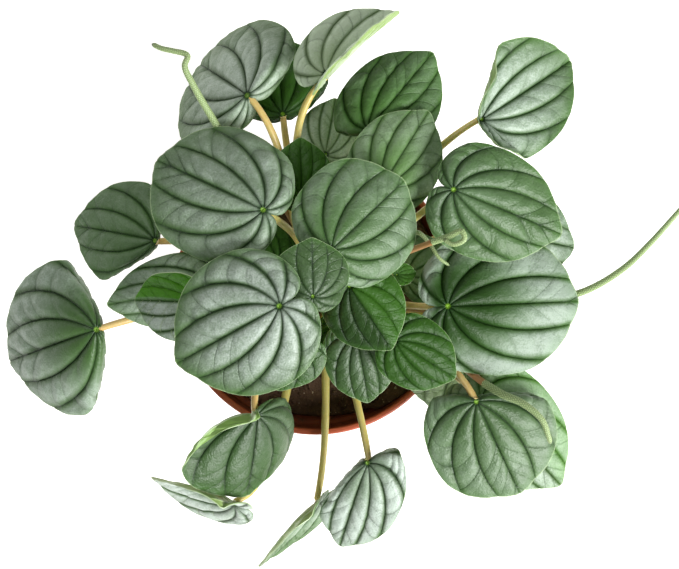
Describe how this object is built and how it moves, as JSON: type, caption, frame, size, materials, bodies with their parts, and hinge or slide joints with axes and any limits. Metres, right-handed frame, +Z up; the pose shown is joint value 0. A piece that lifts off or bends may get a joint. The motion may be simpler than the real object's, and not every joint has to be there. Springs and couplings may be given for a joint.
{
  "type": "potted peperomia",
  "caption": "Potted peperomia: a rosette of ribbed, heart-shaped silvery green leaves on long stalks, with slender flower spikes, in a round tapered plastic nursery pot.",
  "frame": {"origin": "centre of the pot's flat base, on the surface it stands on", "axes": "+Z up along the pot's axis; seen from above, +Y is the top of the plan view and +X its right"},
  "size_m": [0.2804, 0.23, 0.193],
  "materials": {
    "pot_plastic": "satin terracotta-coloured plastic with a brighter rim edge",
    "soil": "rough dark brown potting soil with light specks",
    "stalk": "smooth, slightly translucent leaf stalk, tan to yellow-green",
    "leaf_silver": "satin, silvery grey-green between dark green sunken veins",
    "leaf_green": "satin, saturated green with sunken veins",
    "spike": "pale green spike covered with tiny flowers"
  },
  "bodies": {
    "root": {"pot": "pot_plastic", "soil": "soil", "crown": "stalk", "leaf_01": "leaf_silver", "leaf_02": "leaf_silver", "leaf_03": "leaf_silver", "leaf_04": "leaf_silver", "leaf_05": "leaf_silver", "leaf_06": "leaf_green", "leaf_07": "leaf_green", "leaf_08": "leaf_silver", "leaf_09": "leaf_green", "leaf_10": "leaf_silver", "leaf_11": "leaf_green", "leaf_12": "leaf_silver", "leaf_13": "leaf_green", "leaf_14": "leaf_green", "leaf_15": "leaf_silver", "leaf_16": "leaf_silver", "leaf_17": "leaf_green", "leaf_18": "leaf_silver", "leaf_19": "leaf_silver", "leaf_20": "leaf_green", "leaf_21": "leaf_silver", "leaf_22": "leaf_green", "leaf_23": "leaf_green", "leaf_24": "leaf_silver", "leaf_25": "leaf_silver", "leaf_26": "leaf_silver", "leaf_27": "leaf_silver", "leaf_28": "leaf_silver", "leaf_29": "leaf_silver", "leaf_30": "leaf_silver", "leaf_31": "leaf_silver", "leaf_32": "leaf_silver", "leaf_33": "leaf_green", "leaf_34": "leaf_green", "spike_1": "spike", "spike_2": "spike", "spike_3": "spike", "spike_4": "spike", "spike_5": "spike"}
  },
  "joints": []
}
